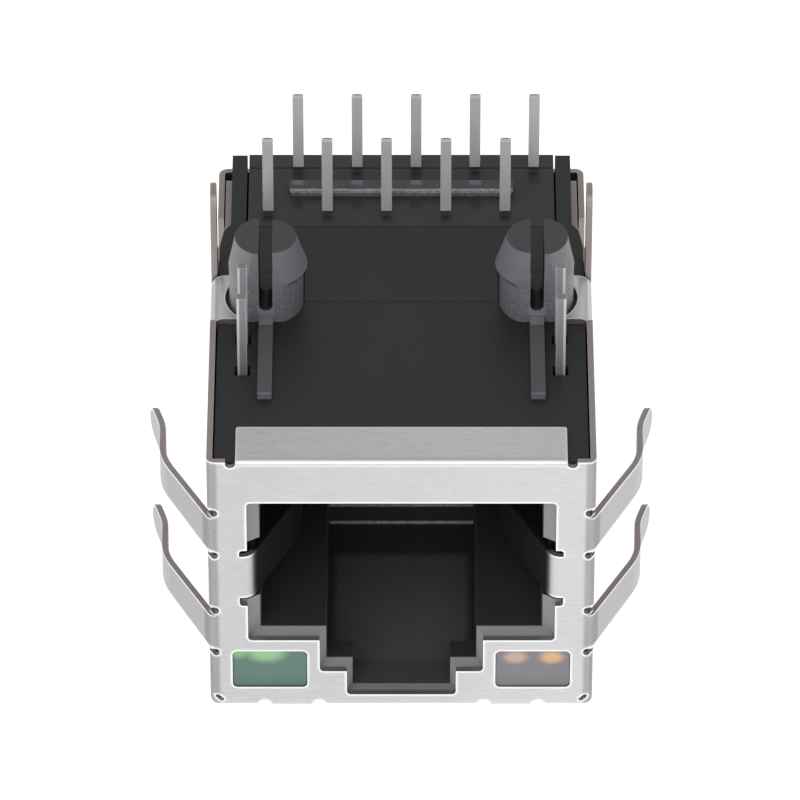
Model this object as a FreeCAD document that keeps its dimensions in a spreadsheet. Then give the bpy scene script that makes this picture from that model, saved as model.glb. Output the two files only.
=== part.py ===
import FreeCAD, Part
import math
import os

import Sketcher

# Shielded board jack with two lamps, in millimetres.
# +Z points towards the circuit board, and the plug goes in along +Y.
# The origin is in the board seat plane, midway between the two snap posts.
# A size called a drop is measured down from the board seat plane, and one called a rise
# up from the roof, the wall opposite the board. A margin is measured in from the outer side.
# A share is a part of the depth behind the posts, and a shoulder share a part of the sheet's step.

SIZES = {
    # overall
    "shell_width": 16.14,
    "shell_depth": 21.3,
    "shell_height": 13.58,
    "post_to_front": 10.85,
    "sheet_gauge": 0.25,
    "sheet_bend": 0.35,
    "play": 0.03,
    "sheet_play": 0.05,
    "side_play": 0.07,
    # front shield: edges, folded tab, straps and solder tails
    "edge_drop": 0.1,
    "rear_edge_drop": 1.3,
    "fold_drop": 0.05,
    "fold_leg": 1.2,
    "tab_margin": 1.2,
    "tab_reach": 2.25,
    "tab_corner": 0.12,
    "tab_notch": 0.42,
    "tab_notch_drop": 0.4,
    "strap_width": 2.95,
    "strap_reach": 1.27,
    "strap_bend": 0.6,
    "strap_arc": 1.74,
    "tail_width": 1.4,
    "tail_slit": 0.12,
    "tail_length": 4.07,
    "tail_corner": 0.6,
    "tail_root": 0.15,
    "tail_root_height": 0.35,
    # front shield: the step where the rear cover laps it
    "lap_start_share": 0.3732,
    "lap_end_share": 0.6124,
    "lap_inset": 0.49,
    "shield_end_share": 0.9187,
    "lance_length": 1.5,
    "lance_width": 1.3,
    "lance_lift": 0.22,
    "lance_start": 0.01,
    # front face openings
    "port_margin": 1.63,
    "port_drop": 2.31,
    "port_foot_rise": 3.73,
    "step_width": 6.88,
    "step_rise": 2.0,
    "slot_width": 4.6,
    "slot_rise": 0.7,
    "port_corner": 0.18,
    "spring_gap_margin": 1.3,
    "spring_gap_top": 4.9,
    "spring_gap_foot": 7.93,
    "spring_gap_corner": 0.15,
    "lamp_width": 3.15,
    "lamp_height": 2.0,
    "lamp_margin": 2.53,
    "lamp_rise": 2.12,
    "lamp_corner": 0.22,
    # port side springs
    "spring_width": 2.26,
    "spring_drop": 6.36,
    "spring_lead": 0.42,
    "spring_reach": 2.5,
    "spring_run": 4.35,
    "spring_return": 0.32,
    "spring_tail": 2.0,
    "spring_bend": 0.5,
    # earthing fingers on the sides and on the wall opposite the board
    "finger_width": 1.8,
    "finger_tip": 1.5,
    "finger_slot": 0.5,
    "finger_rise": 2.08,
    "finger_run": 3.97,
    "finger_flat": 2.1,
    "finger_flare": 0.49,
    "finger_flare_run": 1.68,
    "finger_lead": 0.8,
    "finger_bend": 3.04,
    "finger_drop": 4.02,
    "finger_pitch": 5.34,
    "finger_relief": 0.18,
    "finger_relief_in": 0.25,
    "top_finger_rise": 0.75,
    "top_finger_flare": 0.25,
    "top_finger_offset": 4.63,
    "roof_relief": 0.24,
    "corner_relief": 0.1,
    "corner_relief_in": 0.4,
    "corner_relief_rise": 0.52,
    "corner_relief_step": 0.08,
    # rear cover
    "cover_front_share": 0.665,
    "cover_inset": 0.17,
    "cover_bend": 0.4,
    # front housing
    "seat_gap": 0.3,
    "cavity_margin": 2.17,
    "cavity_drop": 2.75,
    "shelf_rise": 4.03,
    "channel_width": 6.3,
    "ledge_rise": 2.28,
    "ledge_depth": 1.35,
    "floor_rise": 0.8,
    "floor_step": 2.1,
    "floor_step_drop": 0.12,
    "gap_width": 4.1,
    "channel_end": 0.36,
    "channel_sill": 1.0,
    "lead_in": 0.32,
    "housing_end": 2.0,
    "wide_end_share": 0.3541,
    "shoulder_share": 0.388,
    "shoulder_end_share": 0.548,
    "arm_play": 0.08,
    "arm_thickness": 0.65,
    "arm_gap": 0.1,
    "spring_pocket_top": 4.65,
    "spring_pocket_foot": 7.8,
    "spring_pocket_margin": 1.12,
    "spring_pocket_deep": 3.3,
    "spring_pocket_inner_margin": 1.87,
    "spring_pocket_end": 6.8,
    # snap posts and seat ribs
    "post_spacing": 11.43,
    "stem_radius": 1.56,
    "barb_radius": 1.76,
    "outer_barb_radius": 1.58,
    "barb_shift": 0.15,
    "post_depth": 1.37,
    "head_radius": 1.29,
    "head_depth": 1.18,
    "barb_height": 1.8,
    "barb_foot": 1.4,
    "post_height": 3.23,
    "post_slot": 0.57,
    "post_slot_foot": 0.3,
    "post_slot_floor": 1.41,
    "rib_width": 0.6,
    "rib_end": 6.5,
    # lamps and their leads
    "lamp_depth": 3.4,
    "lamp_flange": 0.1,
    "lamp_recess": 0.06,
    "lead_size": 0.4,
    "lead_margin": 1.41,
    "lead_front": 4.62,
    "lead_pitch": 2.06,
    "lead_height": 3.71,
    "lead_bend": 0.6,
    "lead_rise": 2.58,
    "lead_spread": 0.9,
    "lead_slot": 0.66,
    "lead_slot_long": 0.62,
    # contact insert and contact wires
    "insert_front_half": 4.1,
    "insert_end_share": 0.4115,
    "insert_flange": 1.4,
    "tongue_half": 4.3,
    "tongue_drop": 1.55,
    "tongue_reach": 7.6,
    "hook_room": 1.3,
    "comb_reach": 1.9,
    "comb_foot": 7.3,
    "comb_rib": 0.42,
    "wire_pitch": 1.02,
    "wire_radius": 0.17,
    "wire_drop": 2.1,
    "wire_hook": 0.5,
    "wire_fall_angle": 20.0,
    "wire_tip": 1.2,
    "wire_slot": 0.42,
    # inner circuit board and its parts
    "board_thickness": 0.8,
    "board_play": 0.32,
    "board_top_drop": 1.75,
    "board_foot_rise": 0.88,
    "board_hole": 0.25,
    "wire_stub": 0.3,
    "chip_length": 1.6,
    "chip_width": 0.8,
    "chip_height": 0.45,
    "chip_cap": 0.3,
    "chip_rise": 3.68,
    "big_chip_length": 3.2,
    "big_chip_width": 1.1,
    "big_chip_height": 0.9,
    "big_chip_rise": 2.28,
    # magnetics case, ridge and board pins
    "case_base": 1.55,
    "case_side": 0.6,
    "case_wall": 0.6,
    "case_groove_setback": 0.97,
    "case_groove_width": 0.07,
    "case_groove_depth": 0.1,
    "ridge_length": 9.6,
    "ridge_width": 0.76,
    "ridge_setback": 2.55,
    "ridge_corner": 0.14,
    "pin_pitch": 2.54,
    "pin_width": 0.46,
    "pin_thick": 0.26,
    "pin_height": 3.51,
    "pin_inner": 2.7,
    "pin_tip": 0.08,
    "row_setback": 0.71,
    "row_pitch": 3.07,
    "pin_dimple": 0.2,
    "pin_dimple_depth": 0.05,
    "pin_dimple_lead": 0.7,
    # transformers and chokes
    "coil_side_gap": 0.01,
    "coil_drop": 4.5,
    "coil_row_pitch": 3.5,
    "core_gap": 0.28,
    "core_hole_share": 0.6476,
    "core_length": 1.3,
    "choke_gap": 0.58,
    "choke_length": 1.0,
    "winding": 0.16,
    "winding_angle": 300.0,
    "peg_play": 0.08,
    "coil_setback": 0.3,
}

WIRES = 8
PINS_PER_ROW = 5
COILS_PER_ROW = 4

doc = FreeCAD.newDocument("board_jack")
sheet = doc.addObject("Spreadsheet::Sheet", "sizes")
kept = []


class Size:
    """A length that knows its number and its formula in the sheet."""

    def __init__(self, number, formula):
        self.number = number
        self.formula = formula

    def __add__(self, other):
        other = as_size(other)
        return Size(self.number + other.number, "(%s + %s)" % (self.formula, other.formula))

    def __radd__(self, other):
        return as_size(other) + self

    def __sub__(self, other):
        other = as_size(other)
        return Size(self.number - other.number, "(%s - %s)" % (self.formula, other.formula))

    def __rsub__(self, other):
        return as_size(other) - self

    def __mul__(self, factor):
        return Size(self.number * factor, "(%s * %s)" % (self.formula, factor))

    def __rmul__(self, factor):
        return self * factor

    def __truediv__(self, factor):
        return Size(self.number / factor, "(%s / %s)" % (self.formula, factor))

    def __neg__(self):
        return Size(-self.number, "(0 - %s)" % self.formula)

    def times(self, share):
        """This length's part that the share names."""
        return Size(self.number * share.number, "(%s * %s)" % (self.formula, share.formula))


def as_size(value):
    """A plain number as a length with a formula."""
    return value if isinstance(value, Size) else Size(float(value), repr(float(value)))


def number(value):
    return as_size(value).number


def fill_sheet():
    """One row for each size: its name, and its number under the same name."""
    for row, (name, value) in enumerate(SIZES.items(), 1):
        sheet.set("A%d" % row, name)
        sheet.set("B%d" % row, str(value))
        sheet.setAlias("B%d" % row, name)
    doc.recompute()


class Named:
    """The sizes of the sheet, as lengths."""

    def __getattr__(self, name):
        return Size(float(SIZES[name]), "sizes." + name)


size = Named()

# Places that several pieces share
half_width = size.shell_width / 2
side_in = half_width - size.sheet_gauge
front_out = -size.post_to_front
front_in = front_out + size.sheet_gauge
rear_out = size.shell_depth - size.post_to_front
rear_in = rear_out - size.sheet_gauge
roof_out = -size.shell_height
roof_in = roof_out + size.sheet_gauge
wall_edge = -size.edge_drop
fold_out = -size.fold_drop
fold_in = fold_out - size.sheet_gauge
housing_half = side_in - size.side_play
housing_front = front_in + size.sheet_play
housing_roof = roof_in + size.play
board_face = -size.seat_gap
post_x = size.post_spacing / 2

# Places and widths that keep their distance from the outer sides
tab_width = size.shell_width - size.tab_margin * 2
port_width = size.shell_width - size.port_margin * 2
spring_gap_width = size.shell_width - size.spring_gap_margin * 2
cavity_width = size.shell_width - size.cavity_margin * 2
lamp_offset = half_width - size.lamp_margin
lead_offset = half_width - size.lead_margin
spring_pocket_side = half_width - size.spring_pocket_margin
spring_pocket_inner = half_width - size.spring_pocket_inner_margin
arm_outer = side_in - size.lap_inset - size.play
arm_inner = arm_outer - size.arm_thickness
insert_half = arm_inner - size.arm_play
board_half = insert_half - size.board_play
coil_pitch = (insert_half - size.case_side) / 2 - size.coil_side_gap
core_radius = (coil_pitch - size.core_gap) / 2 - size.winding
choke_radius = (coil_pitch - size.choke_gap) / 2 - size.winding
core_hole = choke_radius.times(size.core_hole_share)

# Places that keep their height above the roof
port_foot_drop = size.shell_height - size.port_foot_rise
step_drop = size.shell_height - size.step_rise
slot_drop = size.shell_height - size.slot_rise
shelf_drop = size.shell_height - size.shelf_rise
ledge_drop = size.shell_height - size.ledge_rise
floor_drop = size.shell_height - size.floor_rise
lamp_drop = size.shell_height - size.lamp_rise
lead_drop = size.shell_height - size.lead_rise
board_foot_drop = size.shell_height - size.board_foot_rise
chip_drop = size.shell_height - size.chip_rise
big_chip_drop = size.shell_height - size.big_chip_rise

# Places along the depth behind the posts
wide_end = rear_out.times(size.wide_end_share)
lap_start = rear_out.times(size.lap_start_share)
lap_end = rear_out.times(size.lap_end_share)
shoulder = lap_start + (lap_end - lap_start).times(size.shoulder_share)
shoulder_end = lap_start + (lap_end - lap_start).times(size.shoulder_end_share)
shoulder_half = side_in - size.lap_inset.times(size.shoulder_share) - size.sheet_play
cover_front = rear_out.times(size.cover_front_share)
shield_end = rear_out.times(size.shield_end_share)
insert_front = size.housing_end + size.play
insert_end = rear_out.times(size.insert_end_share)
board_front = insert_end + size.play
board_back = board_front + size.board_thickness
case_front = board_back + size.play
insert_roof = housing_roof + size.play
case_back = rear_in - size.sheet_play
case_inner_back = case_back - size.case_wall
front_row = case_back - size.row_setback - size.row_pitch
groove_start = case_back - size.case_groove_setback
beyond = 1.0


def block(name, x, y, z):
    """A box between two places on each axis."""
    made = doc.addObject("Part::Box", name)
    for side, axis, (low, high) in zip(("Length", "Width", "Height"), "xyz", (x, y, z)):
        made.setExpression(side, (as_size(high) - low).formula)
        made.setExpression("Placement.Base." + axis, as_size(low).formula)
    return made


TURNS = {
    "x": FreeCAD.Rotation(FreeCAD.Vector(0, 1, 0), 90),
    "y": FreeCAD.Rotation(FreeCAD.Vector(1, 0, 0), -90),
    "z": FreeCAD.Rotation(),
}


def place(made, axis, spot):
    """Turns a round piece along an axis and binds its foot to a spot."""
    made.Placement = FreeCAD.Placement(FreeCAD.Vector(), TURNS[axis])
    for letter, value in zip("xyz", spot):
        made.setExpression("Placement.Base." + letter, as_size(value).formula)


def rod(name, axis, radius, length, spot):
    """A cylinder from a spot along an axis."""
    made = doc.addObject("Part::Cylinder", name)
    made.setExpression("Radius", as_size(radius).formula)
    made.setExpression("Height", as_size(length).formula)
    place(made, axis, spot)
    return made


def cone(name, foot_radius, head_radius, low, high, x):
    """An upright cone between two heights, on the line of the posts."""
    made = doc.addObject("Part::Cone", name)
    made.setExpression("Radius1", as_size(foot_radius).formula)
    made.setExpression("Radius2", as_size(head_radius).formula)
    made.setExpression("Height", (as_size(high) - low).formula)
    place(made, "z", (x, 0, low))
    return made


def taper(name, y, near_x, near_z, far_x, far_z):
    """A block whose section changes evenly from its near end to its far end."""
    made = doc.addObject("Part::Wedge", name)
    bounds = {
        "Ymin": y[0], "Ymax": y[1],
        "Xmin": near_x[0], "Xmax": near_x[1], "Zmin": near_z[0], "Zmax": near_z[1],
        "X2min": far_x[0], "X2max": far_x[1], "Z2min": far_z[0], "Z2max": far_z[1],
    }
    for prop, value in bounds.items():
        setattr(made, prop, number(value))
    for prop, value in bounds.items():
        made.setExpression(prop, as_size(value).formula)
    return made


def fuse(name, pieces):
    made = doc.addObject("Part::MultiFuse", name)
    made.Shapes = pieces
    made.Refine = True
    return made


def common(name, pieces):
    made = doc.addObject("Part::MultiCommon", name)
    made.Shapes = pieces
    return made


def cut(name, base, tools):
    """The base without the tools."""
    tool = tools[0] if len(tools) == 1 else fuse(name + "_tools", tools)
    made = doc.addObject("Part::Cut", name)
    made.Base = base
    made.Tool = tool
    made.Refine = True
    return made


def edges_at(shape, spots):
    """The numbers of the edges that pass through these spots."""
    found = set()
    for spot in spots:
        vertex = Part.Vertex(FreeCAD.Vector(*[number(value) for value in spot]))
        near = [i for i, edge in enumerate(shape.Edges, 1) if edge.distToShape(vertex)[0] < 1e-4]
        if not near:
            raise ValueError("no edge at %s" % [number(value) for value in spot])
        found.update(near)
    return sorted(found)


def rounded(name, base, rounds):
    """The base with edges rounded: each round is a radius and the spots its edges pass through."""
    doc.recompute()
    made = doc.addObject("Part::Fillet", name)
    made.Base = base
    made.Edges = [
        (edge, number(radius), number(radius))
        for radius, spots in rounds
        for edge in edges_at(base.Shape, spots)
    ]
    return made


PLANES = {
    "plan": FreeCAD.Rotation(),
    "side": FreeCAD.Rotation(
        FreeCAD.Vector(0, 1, 0), FreeCAD.Vector(0, 0, 1), FreeCAD.Vector(1, 0, 0)
    ),
}


def outline(name, plane, points):
    """A closed sketch of straight lines, each corner held by two sizes."""
    sketch = doc.addObject("Sketcher::SketchObject", name)
    sketch.Placement = FreeCAD.Placement(FreeCAD.Vector(), PLANES[plane])
    spots = [FreeCAD.Vector(number(u), number(v), 0) for u, v in points]
    for i, spot in enumerate(spots):
        sketch.addGeometry(Part.LineSegment(spot, spots[(i + 1) % len(spots)]))
    for i in range(len(spots)):
        sketch.addConstraint(Sketcher.Constraint("Coincident", i, 2, (i + 1) % len(spots), 1))
    for i, (u, v) in enumerate(points):
        for kind, value in (("DistanceX", u), ("DistanceY", v)):
            index = sketch.addConstraint(Sketcher.Constraint(kind, -1, 1, i, 1, number(value)))
            sketch.setExpression("Constraints[%d]" % index, as_size(value).formula)
    return sketch


def extrude(name, sketch, axis, low, high):
    """The sketch drawn out along its normal, between two places."""
    sketch.setExpression("Placement.Base." + axis, as_size(low).formula)
    made = doc.addObject("Part::Extrusion", name)
    made.Base = sketch
    made.DirMode = "Normal"
    made.Solid = True
    made.setExpression("LengthFwd", (as_size(high) - low).formula)
    return made


def sides(near, far):
    """The same span of X on the left and on the right, with a word for each."""
    return (("left", (-far, -near), -1), ("right", (near, far), 1))


def keep(name, made):
    """Marks a finished sub-part and gives it its name."""
    made.Label = name
    kept.append((name, made))
    return made


def runs_and_arcs(points, radii):
    """Edges along the points, with a tangent arc of the given radius at each inner point."""
    edges = []
    last = points[0]
    for i in range(1, len(points) - 1):
        corner = points[i]
        before = (points[i - 1] - corner).normalize()
        after = (points[i + 1] - corner).normalize()
        half = before.getAngle(after) / 2
        away = radii[i - 1] / math.tan(half)
        start = corner + before * away
        end = corner + after * away
        inward = (before + after).normalize()
        middle = corner + inward * (radii[i - 1] / math.sin(half) - radii[i - 1])
        edges.append(Part.LineSegment(last, start).toShape())
        edges.append(Part.Arc(start, middle, end).toShape())
        last = end
    edges.append(Part.LineSegment(last, points[-1]).toShape())
    return Part.Wire(edges)


def bent_sheet(points, radii, gauge, width):
    """Sheet of one gauge and width bent along points in the plan, its width centred on Z."""
    spots = [FreeCAD.Vector(x, y, 0) for x, y in points]
    path = runs_and_arcs(spots, radii)
    along = (spots[1] - spots[0]).normalize()
    across = FreeCAD.Vector(-along.y, along.x, 0) * (gauge / 2)
    up = FreeCAD.Vector(0, 0, width / 2)
    start = spots[0]
    corners = [start - across - up, start + across - up, start + across + up, start - across + up]
    section = Part.makePolygon(corners + corners[:1])
    return path.makePipeShell([section], True, False)


def tapered_blank(root_width, tip_width, straight, length, reach):
    """A blank seen from the side: full width, then narrowing to a round tip, drawn out along X."""
    root = root_width / 2
    tip = tip_width / 2
    centre = length - tip
    corners = [
        FreeCAD.Vector(-reach, -beyond, -root),
        FreeCAD.Vector(-reach, straight, -root),
        FreeCAD.Vector(-reach, centre, -tip),
        FreeCAD.Vector(-reach, centre, tip),
        FreeCAD.Vector(-reach, straight, root),
        FreeCAD.Vector(-reach, -beyond, root),
    ]
    edges = [
        Part.LineSegment(corners[0], corners[1]).toShape(),
        Part.LineSegment(corners[1], corners[2]).toShape(),
        Part.Arc(corners[2], FreeCAD.Vector(-reach, length, 0), corners[3]).toShape(),
        Part.LineSegment(corners[3], corners[4]).toShape(),
        Part.LineSegment(corners[4], corners[5]).toShape(),
        Part.LineSegment(corners[5], corners[0]).toShape(),
    ]
    face = Part.Face(Part.Wire(edges))
    return face.extrude(FreeCAD.Vector(2 * reach, 0, 0))


def feature(name, shape, spot, turn):
    """A piece of bent sheet or wire at its spot."""
    made = doc.addObject("Part::Feature", name)
    made.Shape = shape
    made.Placement = FreeCAD.Placement(FreeCAD.Vector(*[number(value) for value in spot]), turn)
    return made


def finger_shape(rise, flare):
    """One earthing finger: bent back out of the face, a short level stretch, and a flared tip."""
    gauge = number(size.sheet_gauge)
    run = number(size.finger_run)
    flat_end = run + number(size.finger_flat)
    tip_y = flat_end + number(size.finger_flare_run)
    points = [
        (-number(size.finger_lead), 0),
        (0, 0),
        (number(rise), run),
        (number(rise), flat_end),
        (number(rise) + number(flare), tip_y),
    ]
    bend = number(size.finger_bend)
    root_bend = number(size.sheet_bend) - gauge / 2
    strip = bent_sheet(points, [root_bend, bend, bend], gauge, number(size.finger_width))
    reach = number(rise) + number(flare) + beyond
    blank = tapered_blank(
        number(size.finger_width), number(size.finger_tip), number(size.finger_slot), tip_y, reach
    )
    return strip.common(blank).Solids[0]


def port_spring_shape():
    """One port side spring: it leaves the face, turns in and back, and its end turns out again."""
    gauge = number(size.sheet_gauge)
    middle = gauge / 2
    points = [
        (-gauge, middle),
        (number(size.spring_lead), middle),
        (number(size.spring_reach), number(size.spring_run)),
        (number(size.spring_reach - size.spring_return), number(size.spring_run + size.spring_tail)),
    ]
    bend = number(size.spring_bend)
    return bent_sheet(points, [bend, 4 * bend], gauge, number(size.spring_width))


NO_TURN = FreeCAD.Rotation()
HALF_TURN = FreeCAD.Rotation(FreeCAD.Vector(0, 1, 0), 180)
DOWN_TURN = FreeCAD.Rotation(FreeCAD.Vector(0, 1, 0), 90)


def finger_heights():
    return (-size.finger_drop, -(size.finger_drop + size.finger_pitch))


def shield_body():
    """The folded sheet's front, sides and roof, with the step that the rear cover laps."""
    lap_x = half_width - size.lap_inset
    lap_z = roof_out + size.sheet_gauge + size.play
    inner_x = side_in - size.lap_inset

    def envelope(name, x, lapped_x, front, roof, lapped_roof, end, top):
        plan = outline(name + "_plan", "plan", [
            (-x, front), (x, front), (x, lap_start), (lapped_x, lap_end),
            (lapped_x, end), (-lapped_x, end), (-lapped_x, lap_end), (-x, lap_start),
        ])
        side = outline(name + "_side", "side", [
            (front, roof), (lap_start, roof), (lap_end, lapped_roof),
            (end, lapped_roof), (end, top), (front, top),
        ])
        drawn = extrude(name + "_up", plan, "z", roof_out - beyond, as_size(beyond))
        across = extrude(name + "_across", side, "x", -half_width - beyond, half_width + beyond)
        return common(name, [drawn, across])

    outer = envelope(
        "shield_outer", half_width, lap_x, front_out, roof_out, lap_z, shield_end, wall_edge
    )
    middle_z = roof_out / 2
    middle_y = front_out / 2
    bent = rounded("shield_bent", outer, [(size.sheet_bend, [
        (half_width, front_out, middle_z), (-half_width, front_out, middle_z),
        (0, front_out, roof_out), (half_width, middle_y, roof_out), (-half_width, middle_y, roof_out),
    ])])
    inner = envelope(
        "shield_inner", side_in, inner_x, front_in, roof_in, lap_z + size.sheet_gauge,
        shield_end + beyond, as_size(beyond) / 2
    )
    return cut("shield_body", bent, [inner])


def port_cuts():
    """The stepped port, its spring gaps and the two lamp windows, through the front face."""
    through = (front_out - beyond, front_in + beyond)
    port = fuse("port_cut", [
        block("port_upper", (-port_width / 2, port_width / 2), through,
              (-port_foot_drop, -size.port_drop)),
        block("port_step", (-size.step_width / 2, size.step_width / 2), through,
              (-step_drop, -size.port_drop)),
        block("port_slot", (-size.slot_width / 2, size.slot_width / 2), through,
              (-slot_drop, -size.port_drop)),
    ])
    corner_y = front_out
    half_port = port_width / 2
    softened = rounded("port_softened", port, [(size.port_corner, [
        (half_port, corner_y, -size.port_drop), (-half_port, corner_y, -size.port_drop),
        (half_port, corner_y, -port_foot_drop), (-half_port, corner_y, -port_foot_drop),
        (size.step_width / 2, corner_y, -step_drop),
        (-size.step_width / 2, corner_y, -step_drop),
        (size.slot_width / 2, corner_y, -slot_drop),
        (-size.slot_width / 2, corner_y, -slot_drop),
    ])])
    gap_half = spring_gap_width / 2
    gap = block("spring_gap", (-gap_half, gap_half), through,
                (-size.spring_gap_foot, -size.spring_gap_top))
    gap_round = rounded("spring_gap_round", gap, [(size.spring_gap_corner, [
        (side * gap_half, corner_y, -z)
        for side in (-1, 1) for z in (size.spring_gap_top, size.spring_gap_foot)
    ])])
    cuts = [softened, gap_round]
    for word, x, side in sides(lamp_offset - size.lamp_width / 2,
                               lamp_offset + size.lamp_width / 2):
        z = (-lamp_drop - size.lamp_height / 2, -lamp_drop + size.lamp_height / 2)
        window = block("lamp_window_" + word, x, through, z)
        cuts.append(rounded("lamp_window_round_" + word, window, [
            (size.lamp_corner, [(a, corner_y, b) for a in x for b in z])
        ]))
    return cuts


def finger_cuts():
    """The gaps that the fingers were lanced from, and the round reliefs at their roots."""
    start = front_out + size.sheet_bend
    end = (front_out + size.finger_run + size.finger_flat + size.finger_flare_run
           + size.sheet_bend)
    half = size.finger_width / 2 + size.finger_slot
    relief_at = size.finger_width / 2 + size.finger_slot / 2
    inset = size.sheet_gauge / 2
    cuts = []
    reliefs = (front_out - beyond, start + size.play)
    for level, z in enumerate(finger_heights()):
        for word, x, side in sides(side_in - beyond / 4, half_width + beyond):
            cuts.append(block("finger_gap_%s_%d" % (word, level), x, (start, end),
                              (z - half, z + half)))
        for word, x, side in sides(half_width - size.finger_relief_in, half_width + beyond):
            for edge in (-1, 1):
                middle = z + edge * relief_at
                cuts.append(rod("finger_relief_%s_%d_%d" % (word, level, edge), "y",
                                size.finger_relief, reliefs[1] - reliefs[0],
                                (side * (half_width - size.finger_relief_in), reliefs[0], middle)))
                cuts.append(block("finger_nick_%s_%d_%d" % (word, level, edge), x, reliefs,
                                  (middle - size.finger_relief / 2,
                                   middle + size.finger_relief / 2)))
    for word, x, side in sides(size.top_finger_offset - half, size.top_finger_offset + half):
        cuts.append(block("roof_gap_" + word, x, (start, end),
                          (roof_out - beyond, roof_in + beyond / 4)))
        for edge in (-1, 1):
            cuts.append(rod("roof_relief_%s_%d" % (word, edge), "y", size.roof_relief,
                            reliefs[1] - reliefs[0],
                            (side * size.top_finger_offset + edge * relief_at,
                             reliefs[0], roof_out + inset)))
        for step in (-1, 0, 1):
            shift = size.corner_relief_step * step
            cuts.append(rod("corner_relief_%s_%d" % (word, step), "y", size.corner_relief,
                            reliefs[1] - reliefs[0],
                            (side * (half_width - size.corner_relief_in + shift), reliefs[0],
                             roof_out + size.corner_relief_rise + shift)))
    return cuts


def edge_cuts():
    """The tops of the walls: lower behind the solder tails, and clear for the tab and straps."""
    tail_front = size.strap_width / 2 + size.tail_slit
    tail_back = tail_front + size.tail_width + size.tail_root
    half_tab = tab_width / 2
    notch_middle = half_tab + size.tab_notch / 2
    cuts = [
        block("edge_rear", (-half_width - beyond, half_width + beyond),
              (size.strap_width / 2, shield_end + beyond), (-size.rear_edge_drop, beyond)),
        block("edge_strap", (-half_width - beyond, half_width + beyond),
              (-size.strap_width / 2, size.strap_width / 2 + size.play),
              (-size.fold_leg, beyond)),
        block("edge_tab", (-half_tab, half_tab), (front_out - beyond, front_in + beyond),
              (-size.fold_leg, beyond)),
    ]
    for word, x, side in sides(half_tab, half_tab + size.tab_notch):
        foot = -size.tab_notch_drop + size.tab_notch / 2
        cuts.append(block("tab_notch_" + word, x, (front_out - beyond, front_in + beyond / 4),
                          (foot, beyond)))
        cuts.append(rod("tab_notch_foot_" + word, "y", size.tab_notch / 2,
                        size.sheet_gauge + beyond,
                        (side * notch_middle, front_out - beyond / 2, foot)))
    return cuts, tail_front, tail_back


def folded_tab():
    """The front face's top, folded back over the board side."""
    half = tab_width / 2
    back = front_out + size.tab_reach
    leg_foot = -size.fold_leg - size.play
    whole = block("tab_whole", (-half, half), (front_out, back), (leg_foot, fold_out))
    under = block("tab_under", (-half - beyond, half + beyond), (front_in, back + beyond),
                  (leg_foot - beyond, fold_in))
    angle = cut("tab_angle", whole, [under])
    middle = (fold_out + fold_in) / 2
    return rounded("tab_bent", angle, [
        (size.sheet_bend, [(0, front_out, fold_out)]),
        (size.sheet_bend - size.sheet_gauge, [(0, front_in, fold_in)]),
        (size.tab_corner, [(half, back, middle), (-half, back, middle)]),
    ])


def folded_straps():
    """A strap each side, folded in over the housing and cut away round the snap post."""
    y = (-size.strap_width / 2, size.strap_width / 2)
    leg_foot = -size.fold_leg - size.play
    made = []
    for word, x, side in sides(half_width - size.strap_reach, half_width):
        whole = block("strap_whole_" + word, x, y, (leg_foot, fold_out))
        for_inner = (x[0] - beyond, side_in) if side > 0 else (-side_in, x[1] + beyond)
        under = block("strap_under_" + word, for_inner, (y[0] - beyond, y[1] + beyond),
                      (leg_foot - beyond, fold_in))
        angle = cut("strap_angle_" + word, whole, [under])
        bent = rounded("strap_bent_" + word, angle, [
            (size.strap_bend, [(side * half_width, 0, fold_out)]),
            (size.strap_bend - size.sheet_gauge, [(side * side_in, 0, fold_in)]),
        ])
        arc = rod("strap_arc_" + word, "z", size.strap_arc, size.fold_leg + beyond,
                  (side * post_x, 0, -size.fold_leg))
        made.append(cut("strap_" + word, bent, [arc]))
    return made


def solder_tails(front, back):
    """A flat solder tail each side, upright in the side wall, with a rounded tip."""
    made = []
    for word, x, side in sides(side_in, half_width):
        blade_y = (front, front + size.tail_width)
        blade = block("tail_blade_" + word, x, blade_y, (-size.rear_edge_drop, size.tail_length))
        middle = (x[0] + x[1]) / 2
        tip = rounded("tail_tip_" + word, blade, [
            (size.tail_corner, [(middle, y, size.tail_length) for y in blade_y])
        ])
        root = block("tail_root_" + word, x, (front, back),
                     (-size.rear_edge_drop - size.play, size.tail_root_height))
        made += [tip, root]
    return made


def lances():
    """A small catch each side, raised from the lapped wall, which holds the rear cover."""
    middle = (cover_front + shield_end) / 2
    made = []
    for word, x, side in sides(side_in - size.lap_inset + size.sheet_gauge / 2,
                               half_width - size.lap_inset):
        face = half_width - size.lap_inset
        base = -size.shell_height / 2
        z = (base - size.lance_width / 2, base + size.lance_width / 2)
        start = middle - size.lance_length / 2
        low, high = face + size.lance_start, face + size.lance_lift
        if side > 0:
            near_x, far_x = (x[0], low), (x[0], high)
        else:
            near_x, far_x = (-low, x[1]), (-high, x[1])
        made.append(taper("lance_" + word, (start, start + size.lance_length),
                          near_x, z, far_x, z))
    return made


def lance_window_span():
    """Where the rear cover has its catch windows."""
    middle = (cover_front + shield_end) / 2
    half = size.lance_length / 2 + size.sheet_play * 2
    tall = size.lance_width / 2 + size.sheet_play * 2
    base = -size.shell_height / 2
    return (middle - half, middle + half), (base - tall, base + tall)


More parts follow.
